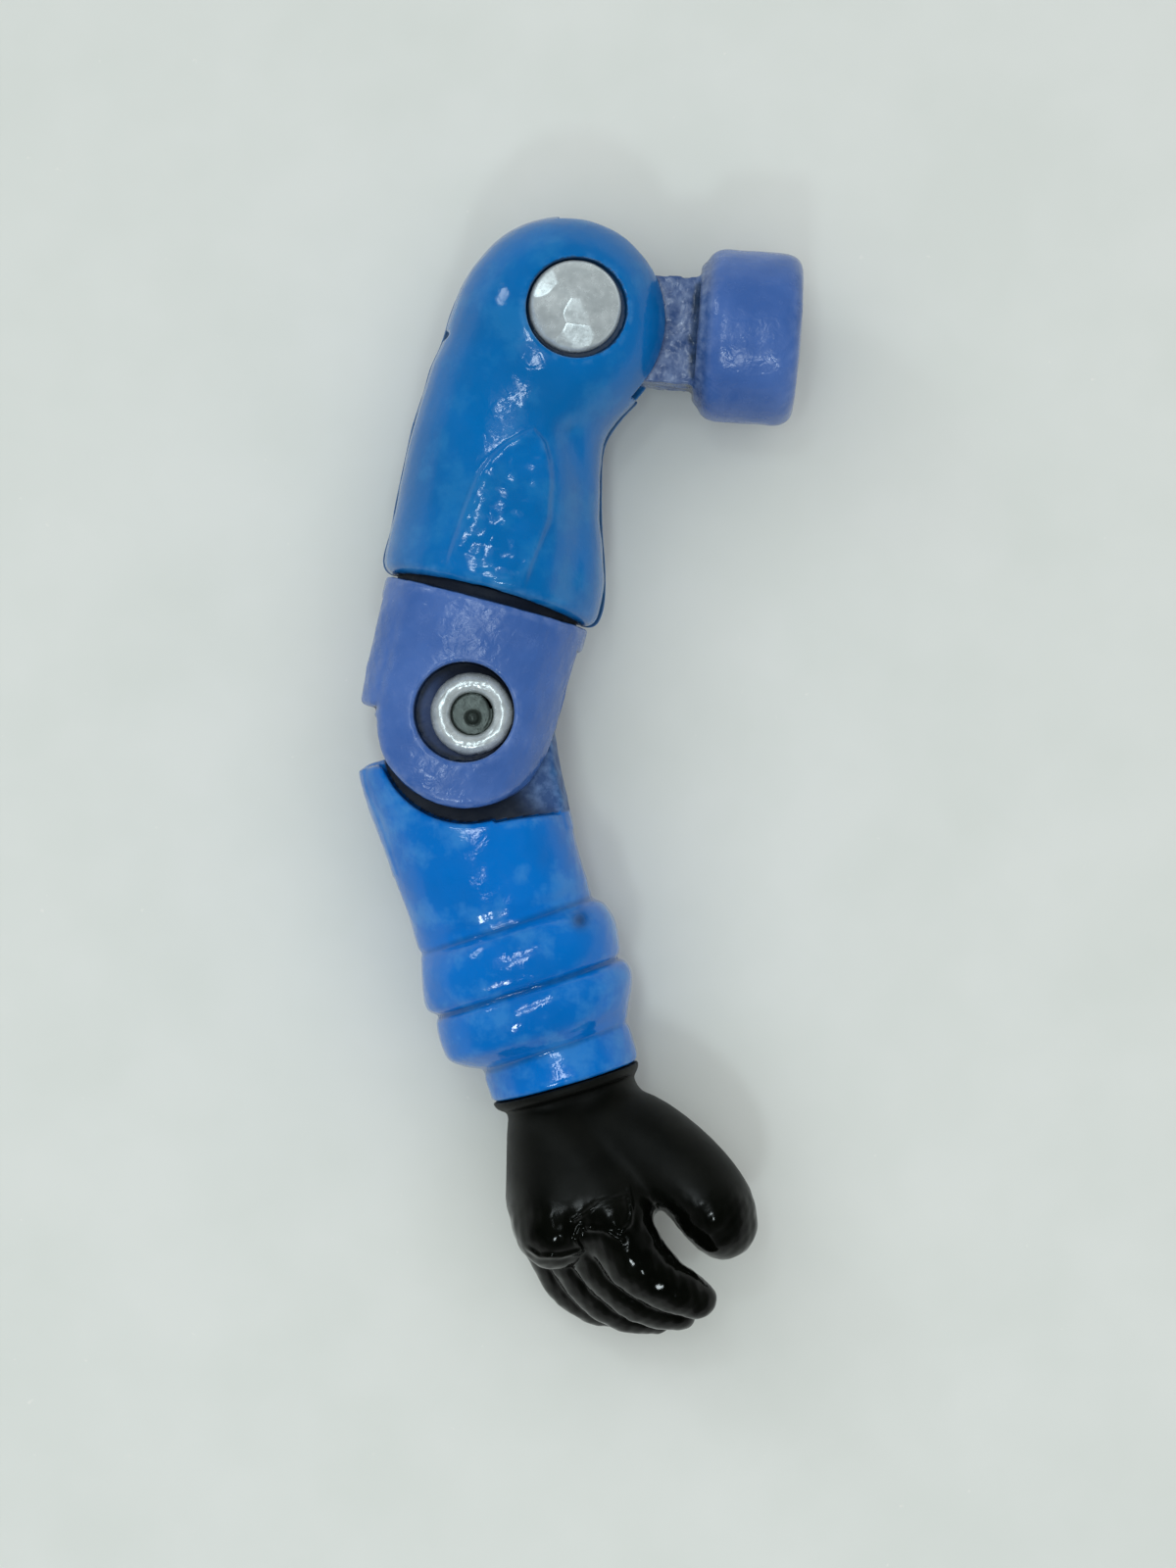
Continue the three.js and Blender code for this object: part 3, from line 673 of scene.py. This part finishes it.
def forearm():
    """The sleeve with its rolls and cuff, and the eye between the fork's ears."""
    block = Block((-4.8, -14.0, -3.9), (3.8, 3.2, 3.9), 0.08)
    x, y, z = block.x, block.y, block.z
    tube = sleeve(block, FOREARM, slant=CUFF_SLANT)
    slanted = y - CUFF_SLANT * x
    for height, depth in GROOVES:
        tube = tube + depth * bump(slanted - height, 0.13)
    tube = tube + 0.07 * bump(np.hypot(x - PIT[0], y - PIT[1]), 0.22) * (z > 0)
    tube = tube - 0.012 * block.ripple(1.7, seed=31) - 0.004 * block.ripple(0.7, seed=32)
    scoop = join(np.hypot(x - SCOOP_X, y - SCOOP_Y) - SCOOP_RADIUS, sleeve_end(x) - y, 0.3)
    outer = cut(tube, np.maximum(scoop, EYE_HALF - np.abs(z)), 0.22)
    outer = common(outer, y - LIP_TOP, 0.5)
    outer = common(outer, CUFF_END + END_SLANT * x - y, 0.22)
    eye = join(np.hypot(x, y) - EYE_RADIUS, np.maximum(tube, np.abs(y - ROOT_Y) - ROOT_HALF))
    eye = common(eye, np.abs(z) - EYE_HALF, 0.12) - 0.01 * block.ripple(0.5, seed=33)
    body = join(outer, eye, 0.12)
    socket = block.bar_y(PLUG_RADIUS + GAP, SOCKET_END, PLUG_TOP + SOCKET_SPARE, PLUG_X)
    body = cut(cut(body, socket, 0.05), block.bar_z(RIVET_HOLE, -FAR, FAR), 0.05)
    made, at = block.mesh("forearm_body", body, FOREARM_FRAME)
    in_scoop = np.hypot(at[:, 0] - SCOOP_X, at[:, 1] - SCOOP_Y) < SCOOP_RADIUS - 0.04
    bare = (at[:, 1] > sleeve_end(at[:, 0]) + 0.04) | in_scoop
    bare = bare & (np.abs(at[:, 2]) < EYE_HALF + 0.1)
    mark(made.data, "bare", bare)
    # painted shade: a dark mark in the gap under the fork's ear, strongest on the tongue's outer faces, and a
    # dark spot for the small pit's shade
    under_ear = bare * smooth_step(at[:, 0] + 0.3 * at[:, 1], 1.0, -0.4)
    pit = 0.7 * bump(np.hypot(at[:, 0] - PIT[0], at[:, 1] - PIT[1]), 0.3) * (at[:, 2] > 0)
    faces_out = smooth_step(np.abs(at[:, 2]), 0.9, 1.15)
    mark(made.data, "painted_shade", np.maximum(under_ear * (0.35 + 0.65 * faces_out), pit))
    place(made, "forearm", "forearm", "sleeve_plastic", gloss_blue(*FOREARM_BLUE))


# ---- hand ---------------------------------------------------------------------------------------------
# balls as x, y, z and radius, joined by rounded bars
PALM = [
    [(-0.6, -14.6, 0.0, 1.75), (-1.5, -17.4, 0.1, 1.7)],
    [(0.7, -14.7, 0.0, 1.75), (0.9, -17.2, 0.3, 1.9)],
    [(-1.0, -15.4, -1.0, 1.4), (-1.75, -18.6, -1.3, 1.4)],
    [(-1.0, -15.4, 1.0, 1.4), (-1.65, -18.4, 1.2, 1.5)],
    [(0.6, -15.6, -0.9, 1.4), (0.2, -18.6, -1.1, 1.4)],
    [(-0.2, -16.6, 1.1, 1.6), (0.3, -18.3, 1.3, 1.5)],
]
THUMB = [
    (1.1, -15.6, 0.6, 1.55),
    (2.2, -16.4, 1.0, 1.42),
    (3.2, -17.6, 1.2, 1.32),
    (3.85, -18.9, 1.15, 1.25),
    (4.1, -20.0, 1.0, 1.08),
]
FINGERS = [
    [
        (0.3, -18.3, 1.6, 1.15),
        (0.72, -20.0, 1.85, 1.1),
        (1.5, -21.2, 1.9, 0.9),
        (2.52, -22.12, 1.8, 0.68),
    ],
    [
        (-0.5, -18.7, 0.65, 1.15),
        (-0.1, -20.4, 0.75, 1.05),
        (0.7, -21.7, 0.8, 0.86),
        (1.75, -22.5, 0.8, 0.64),
    ],
    [
        (-1.3, -18.9, -0.5, 1.15),
        (-0.95, -20.6, -0.42, 1.02),
        (-0.15, -21.9, -0.35, 0.82),
        (0.9, -22.6, -0.3, 0.6),
    ],
    [
        (-2.05, -18.9, -1.5, 1.05),
        (-1.75, -20.5, -1.5, 0.94),
        (-1.1, -21.6, -1.4, 0.76),
        (-0.15, -22.2, -1.3, 0.56),
    ],
]
# lines in x and y on the front
KNUCKLES = [
    [(-2.8, -18.8), (-2.5, -19.15), (-1.7, -19.35), (-0.95, -19.35), (-1.1, -18.9), (-0.8, -18.5)],
    [(-0.95, -18.2), (-0.5, -18.05), (0.1, -17.8), (1.05, -17.8)],
    [(0.55, -19.0), (0.95, -18.8), (1.1, -18.4), (1.2, -17.6)],
    [(-0.6, -18.6), (0.0, -18.8), (0.5, -19.3)],
]
CUFF_GAP = 0.04
COLLAR_HEIGHT = 0.34
PLUG_ROOT = -15


def chain(block, balls, soft=0.0):
    """Bones through a row of balls, three between each two where they bend."""
    if len(balls) > 2:
        steps = np.linspace(0, len(balls) - 1, 3 * len(balls) - 2)
        balls = np.transpose(along([(i, *ball) for i, ball in enumerate(balls)], steps))
    parts = [block.bone(a, b) for a, b in zip(balls, balls[1:])]
    whole = parts[0]
    for part in parts[1:]:
        whole = join(whole, part, soft)
    return whole


def hand():
    """The gloved hand, with four fingers and a thumb round an open grip."""
    block = Block((-3.9, -24.0, -3.3), (5.8, -11.5, 3.6), 0.07)
    palm = chain(block, PALM[0])
    for pair in PALM[1:]:
        palm = join(palm, chain(block, pair), 0.7)
    fingers = chain(block, FINGERS[0], 0.25)
    for balls in FINGERS[1:]:
        fingers = join(fingers, chain(block, balls, 0.25), 0.12)
    body = join(palm, fingers, 0.35)
    body = join(body, chain(block, THUMB, 0.5), 0.35)
    on_front = smooth_step(block.z, 0.6, 1.4)
    for line in KNUCKLES:
        near = track(block.x, block.y, line)
        body = body + (0.05 * bump(near, 0.22) - 0.1 * bump(near, 0.08)) * on_front
    on_fingers = smooth_step(-block.y - 0.2 * block.x, 17.3, 18.3)
    body = body - (0.02 * block.ripple(0.9, seed=41) + 0.008 * block.ripple(0.4, seed=42)) * on_fingers
    end = CUFF_END - CUFF_GAP + END_SLANT * block.x
    collar = sleeve(block, FOREARM, slant=CUFF_SLANT)
    collar = common(collar, end - COLLAR_HEIGHT - block.y, 0.3)
    body = common(join(body, collar, 0.45), block.y - end, 0.03)
    body = join(body, block.bar_y(PLUG_RADIUS, PLUG_ROOT, PLUG_TOP, PLUG_X))
    glove, at = block.mesh("gloved_hand", body, FOREARM_FRAME)
    mark(glove.data, "soft", 1 - smooth_step(-at[:, 1] - 0.25 * at[:, 0], 16.6, 18.9))
    place(glove, "forearm", "hand", "glove_plastic", gloss_black())


# ---- rivets -------------------------------------------------------------------------------------------
HEAD_RIM = 0.26  # height of a head's upright side
HEAD_TOP = 3.62
HEAD_RADIUS = 1.63
ELBOW_HEAD_TOP = 3.25  # turned to the back
ELBOW_HEAD_RADIUS = 1.5
BACK_RIM_RADIUS = 1.05  # of the shoulder rivet's rolled end, to the roll's middle
BACK_RIM_THICK = 0.26
BACK_RIM_DROP = 0.3  # of the roll's middle from its seat
BACK_HOLLOW_RADIUS = 0.68
BACK_HOLLOW_TOP = -1.6
BLOW_TILT = math.radians(30)
ROLL_X = 0.2  # the rolled end's middle
ROLL_Y = 0.05
ROLL_TOP = 3.0
ROLL_OUTER = 1.46
ROLL_HOLLOW = 0.74
ROLL_DEPTH = 0.6
BURR = (ROLL_X + 0.05, ROLL_Y - 0.12, ROLL_TOP - ROLL_DEPTH)
BURR_RADIUS = 0.22


def hammered(block, dome, centre, radius, blows, seed):
    """A dome with small flats from a rivet hammer."""
    chance = np.random.default_rng(seed)
    for _ in range(blows):
        tilt = BLOW_TILT * math.sqrt(chance.uniform())
        turn = chance.uniform(0, 2 * math.pi)
        way = (math.sin(tilt) * math.cos(turn), math.sin(tilt) * math.sin(turn), math.cos(tilt))
        depth = radius - chance.uniform(0.03, 0.075)
        flat = block.x * way[0] + block.y * way[1] + (block.z - centre) * way[2] - depth
        dome = common(dome, flat, 0.01)
    return dome


def rivet_head(block, seat, top, radius, blows, seed):
    """A low dome from a seat to a crown along +Z."""
    height = top - seat - HEAD_RIM
    ball = (radius**2 + height**2) / (2 * height)
    centre = top - ball
    dome = block.away((0, 0, centre)) - ball
    dome = hammered(block, dome, centre, ball, blows, seed)
    return common(common(dome, np.hypot(block.x, block.y) - radius, 0.14), seat - block.z)


def rolled_ring(block, seat):
    """The rolled end of a hollow rivet, off its shank's middle, with a burr at the bottom of its hole."""
    reach = np.hypot(block.x - ROLL_X, block.y - ROLL_Y)
    middle = (ROLL_OUTER + ROLL_HOLLOW) / 2
    thick = (ROLL_OUTER - ROLL_HOLLOW) / 2
    lip = np.hypot(reach - middle, block.z - ROLL_TOP + thick) - thick
    skirt = np.maximum(reach - middle, np.maximum(seat - block.z, block.z - ROLL_TOP + thick))
    ring = join(lip, skirt, 0.1) - 0.012 * block.ripple(0.9, seed=51) - 0.006 * block.ripple(0.3, seed=52)
    ring = cut(ring, np.maximum(reach - ROLL_HOLLOW, ROLL_TOP - ROLL_DEPTH - block.z), 0.1)
    burr = np.maximum(block.away(BURR) - BURR_RADIUS, seat - block.z)
    return join(np.maximum(ring, seat - block.z), burr, 0.1)


def shoulder_rivet():
    """The steel rivet with the hammered head in front and a small rolled rim behind."""
    block = Block((-1.7, -1.7, -3.3), (1.7, 1.7, 3.8), 0.035)
    head = rivet_head(block, HEAD_SEAT + SEAT_GAP, HEAD_TOP, HEAD_RADIUS, blows=26, seed=6)
    shank = block.bar_z(SHANK_RADIUS, -BACK_SEAT - SHANK_SUNK, HEAD_SEAT + SHANK_SUNK)
    reach = np.hypot(block.x, block.y)
    ring = np.hypot(reach - BACK_RIM_RADIUS, block.z + BACK_SEAT + BACK_RIM_DROP) - BACK_RIM_THICK
    body = join(join(head, shank), ring, 0.1)
    body = cut(body, np.maximum(reach - BACK_HOLLOW_RADIUS, block.z - BACK_HOLLOW_TOP), 0.1)
    rivet, _ = block.mesh("shoulder_rivet_body", body, UPPER_FRAME)
    place(rivet, "upper_arm", "shoulder_rivet", "rivet_steel", worn_steel())


def elbow_rivet():
    """The hollow rivet with the rolled end in front. Its head is made facing front, then turned back."""
    block = Block((-1.8, -1.8, -3.5), (1.8, 1.8, 3.2), 0.035)
    ring = rolled_ring(block, RING_SEAT + SEAT_GAP)
    shank = block.bar_z(SHANK_RADIUS, -RING_SEAT - SHANK_SUNK, RING_SEAT + SHANK_SUNK)
    mirror = Block((-1.8, -1.8, -3.2), (1.8, 1.8, 3.5), 0.035)
    head = rivet_head(mirror, RING_SEAT + SEAT_GAP, ELBOW_HEAD_TOP, ELBOW_HEAD_RADIUS, blows=9, seed=8)
    body = join(join(shank, ring), head[:, :, ::-1])
    rivet, at = block.mesh("elbow_rivet_body", body, ELBOW_FRAME)
    # painted shade: a dark mark in the hollow of the rolled end
    mark(rivet.data, "painted_shade", in_hole(at, ROLL_X, ROLL_Y, 0.7) * smooth_step(at[:, 2], 2.95, 2.6))
    place(rivet, "elbow", "elbow_rivet", "rivet_steel", worn_steel())


# ---- materials ----------------------------------------------------------------------------------------
# a name, two blues that clouds blend, and the pale colour of cloudy patches on them, which are partly painted
# sheen
UPPER_BLUE = ("upper_blue", (0.001, 0.135, 0.42), (0.001, 0.118, 0.36), (0.02, 0.19, 0.45))
FOREARM_BLUE = ("forearm_blue", (0.0005, 0.15, 0.54), (0.0005, 0.13, 0.47), (0.06, 0.27, 0.6))


class Shader:
    """A material's nodes, with short calls for the ones that every surface here uses."""

    def __init__(self, name):
        self.material = bpy.data.materials.new(name)
        self.material.use_nodes = True
        self.nodes = self.material.node_tree.nodes
        self.links = self.material.node_tree.links
        self.surface = self.nodes["Principled BSDF"]
        self.place = self.nodes.new("ShaderNodeTexCoord").outputs["Object"]

    def attribute(self, name):
        """A number that mark() kept on the mesh, and 0 where there is none."""
        node = self.nodes.new("ShaderNodeAttribute")
        node.attribute_name = name
        return node.outputs["Fac"]

    def noise(self, size_mm, detail=3.0, roughness=0.55, distortion=0.0):
        """Noise around 0.5, with blotches of about a size."""
        node = self.nodes.new("ShaderNodeTexNoise")
        node.inputs["Scale"].default_value = 1 / (size_mm * MM)
        node.inputs["Detail"].default_value = detail
        node.inputs["Roughness"].default_value = roughness
        node.inputs["Distortion"].default_value = distortion
        self.links.new(self.place, node.inputs["Vector"])
        return node.outputs["Fac"]

    def ramp(self, value, low, high, start=0.0, end=1.0):
        """value from low..high mapped to start..end, and held outside."""
        node = self.nodes.new("ShaderNodeMapRange")
        node.inputs["From Min"].default_value = low
        node.inputs["From Max"].default_value = high
        node.inputs["To Min"].default_value = start
        node.inputs["To Max"].default_value = end
        self.links.new(value, node.inputs["Value"])
        return node.outputs["Result"]

    def math(self, operation, a, b):
        """The result of a named operation on two sockets, or on a socket and a number."""
        node = self.nodes.new("ShaderNodeMath")
        node.operation = operation
        for socket, value in zip(node.inputs, (a, b)):
            if isinstance(value, (int, float)):
                socket.default_value = value
            else:
                self.links.new(value, socket)
        return node.outputs["Value"]

    def mix(self, share, a, b):
        """Colour a where share is 0 and colour b where it is 1."""
        node = self.nodes.new("ShaderNodeMix")
        node.data_type = "RGBA"
        self.links.new(share, node.inputs["Factor"])
        for socket, value in zip((node.inputs[6], node.inputs[7]), (a, b)):
            if isinstance(value, tuple):
                socket.default_value = (*value, 1)
            else:
                self.links.new(value, socket)
        return node.outputs[2]

    def bump(self, height, depth_mm, below=None):
        """A normal bent by a height, over another bump's normal if there is one."""
        node = self.nodes.new("ShaderNodeBump")
        node.inputs["Strength"].default_value = 1
        node.inputs["Distance"].default_value = depth_mm * MM
        self.links.new(height, node.inputs["Height"])
        if below:
            self.links.new(below, node.inputs["Normal"])
        return node.outputs["Normal"]

    def set(self, **values):
        """Sockets of the shader by name, with _ for a space; a socket is linked and a number is set."""
        for name, value in values.items():
            socket = self.surface.inputs[name.replace("_", " ")]
            if isinstance(value, bpy.types.NodeSocket):
                self.links.new(value, socket)
            else:
                socket.default_value = value


@functools.cache
def gloss_blue(name, light, dark, pale):
    """Glossy moulded plastic: crinkled gloss, pale cloudy patches that are partly painted sheen, light scuffs
    on its edges, and painted shade in creases, seams and recesses.
    """
    s = Shader(name)
    hollow = s.attribute("hollow")
    bare = s.attribute("bare")
    colour = s.mix(s.ramp(s.noise(3.5), 0.35, 0.65), dark, light)
    # pale cloudy patches placed at random: partly a tone in the plastic, partly painted soft sheen
    haze_and_sheen = s.ramp(s.noise(1.5, 4, 0.6), 0.5, 0.64, 0.0, 0.42)
    colour = s.mix(haze_and_sheen, colour, pale)
    mottle = s.ramp(s.noise(0.45, 4, 0.65), 0.42, 0.68)
    scraped = s.mix(mottle, (0.008, 0.045, 0.16), (0.09, 0.17, 0.34))
    colour = s.mix(s.math("MULTIPLY", bare, 0.9), colour, scraped)
    scuffs = s.math("MULTIPLY", s.ramp(hollow, 0.42, 0.26), s.ramp(s.noise(0.5, 4), 0.45, 0.7))
    colour = s.mix(s.math("MULTIPLY", scuffs, 0.3), colour, (0.1, 0.3, 0.58))
    # painted shade: darker in creases and tight corners
    colour = s.mix(s.math("MULTIPLY", s.ramp(hollow, 0.58, 0.85), 0.6), colour, (0.002, 0.04, 0.14))
    # painted shade in the recesses, seams and gaps that each piece marks
    painted_shade = s.attribute("painted_shade")
    colour = s.mix(painted_shade, colour, (0.001, 0.01, 0.03))
    dull = s.math("MULTIPLY", s.math("MAXIMUM", bare, painted_shade), 0.35)
    rough = s.math("ADD", s.ramp(s.noise(0.8, 4), 0.3, 0.75, 0.07, 0.16), dull)
    fine = s.bump(s.noise(0.16, 3), 0.003)
    normal = s.bump(s.noise(0.42, 2, distortion=0.8), 0.012, below=fine)
    s.set(Base_Color=colour, Roughness=rough, Normal=normal, IOR=1.48)
    return s.material


@functools.cache
def satin_violet():
    """Duller joint plastic, with soft pale patches, painted shade in its corners and recesses, and a scraped
    grey neck.
    """
    s = Shader("satin_violet")
    hollow = s.attribute("hollow")
    colour = s.mix(s.ramp(s.noise(2.2), 0.35, 0.65), (0.038, 0.108, 0.34), (0.06, 0.14, 0.4))
    scuffs = s.math("MULTIPLY", s.ramp(s.noise(1.1, 5, 0.7), 0.56, 0.72), s.ramp(s.noise(0.18, 3), 0.4, 0.65))
    edge = s.math("MULTIPLY", s.ramp(hollow, 0.42, 0.26), s.ramp(s.noise(0.35, 4), 0.4, 0.65))
    pale = s.math("MAXIMUM", s.math("MULTIPLY", scuffs, 0.13), s.math("MULTIPLY", edge, 0.18))
    colour = s.mix(pale, colour, (0.26, 0.35, 0.6))
    scraped = s.mix(s.ramp(s.noise(0.42, 5, 0.6), 0.38, 0.66), (0.035, 0.065, 0.15), (0.18, 0.24, 0.36))
    colour = s.mix(s.math("MULTIPLY", s.attribute("worn"), 0.75), colour, scraped)
    # painted shade in creases, broken up by noise
    crease_shade = s.math("MULTIPLY", s.ramp(hollow, 0.6, 0.82), s.ramp(s.noise(0.4, 4), 0.3, 0.6, 0.5, 0.9))
    colour = s.mix(crease_shade, colour, (0.012, 0.028, 0.06))
    # painted shade in the recesses and gaps that each piece marks
    painted_shade = s.attribute("painted_shade")
    colour = s.mix(painted_shade, colour, (0.001, 0.005, 0.015))
    rough = s.math("ADD", s.ramp(s.noise(0.5, 4), 0.3, 0.7, 0.16, 0.3), s.math("MULTIPLY", painted_shade, 0.4))
    fine = s.bump(s.noise(0.13, 3), 0.002)
    normal = s.bump(s.noise(0.34, 2, distortion=0.8), 0.026, below=fine)
    s.set(Base_Color=colour, Roughness=rough, Normal=normal, IOR=1.48)
    return s.material


def gloss_black():
    """Black plastic, dull on the back of the hand and wet-looking on the fingers."""
    s = Shader("gloss_black")
    colour = s.mix(s.ramp(s.noise(1.5), 0.4, 0.7), (0.0012, 0.0016, 0.001), (0.003, 0.0035, 0.0025))
    rough = s.ramp(s.noise(0.7, 4), 0.3, 0.75, 0.08, 0.16)
    rough = s.math("ADD", rough, s.math("MULTIPLY", s.attribute("soft"), 0.42))
    fine = s.bump(s.noise(0.15, 3), 0.002)
    normal = s.bump(s.noise(0.6, 2, distortion=0.8), 0.008, below=fine)
    s.set(Base_Color=colour, Roughness=rough, Normal=normal, IOR=1.32)
    return s.material


@functools.cache
def worn_steel():
    """Dull zinc-plated steel, pale and pitted, with painted shade in its hollows."""
    s = Shader("worn_steel")
    hollow = s.attribute("hollow")
    colour = s.mix(s.ramp(s.noise(0.5, 4), 0.35, 0.7), (0.54, 0.61, 0.63), (0.72, 0.8, 0.82))
    speckle = s.ramp(s.noise(0.1, 3), 0.5, 0.75, 0.0, 0.14)
    colour = s.mix(speckle, colour, (0.2, 0.23, 0.22))
    # painted shade: darker in the hollows
    colour = s.mix(s.ramp(hollow, 0.56, 0.8), colour, (0.05, 0.06, 0.055))
    # painted shade in the hollow of the elbow rivet's rolled end
    colour = s.mix(s.attribute("painted_shade"), colour, (0.045, 0.06, 0.055))
    rough = s.ramp(s.noise(0.25, 4), 0.3, 0.7, 0.2, 0.3)
    normal = s.bump(s.noise(0.14, 4), 0.004)
    s.set(Base_Color=colour, Metallic=0.45, Roughness=rough, Normal=normal)
    return s.material


def paper():
    """Pale matt paper with faint mottling and a few specks."""
    s = Shader("paper")
    colour = s.mix(s.ramp(s.noise(6, 3), 0.35, 0.65), (0.64, 0.675, 0.64), (0.67, 0.7, 0.67))
    colour = s.mix(s.ramp(s.noise(0.5, 2), 0.74, 0.8, 0, 0.5), colour, (0.8, 0.8, 0.76))
    s.set(Base_Color=colour, Roughness=0.75)
    return s.material


def place(piece, body, node, slot, material):
    """Gives a finished piece its material, puts it under its body and hides the CAD node that it stands for.
    Its material slot is not used.
    """
    piece.data.materials.append(material)
    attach(piece, body)
    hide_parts(node)


# ---- the scene ----------------------------------------------------------------------------------------
add_camera()
add_floor()
add_room()
for name, (towards, spread, power) in SKY.items():
    add_sky(name, towards, spread, power)
for name, (spot, size, power) in LAMPS.items():
    add_lamp(name, spot, size, power)
bpy.context.scene.view_settings.view_transform = "Standard"

upper_arm_front()
upper_arm_back()
shoulder_peg()
elbow_fork()
forearm()
hand()
shoulder_rivet()
elbow_rivet()
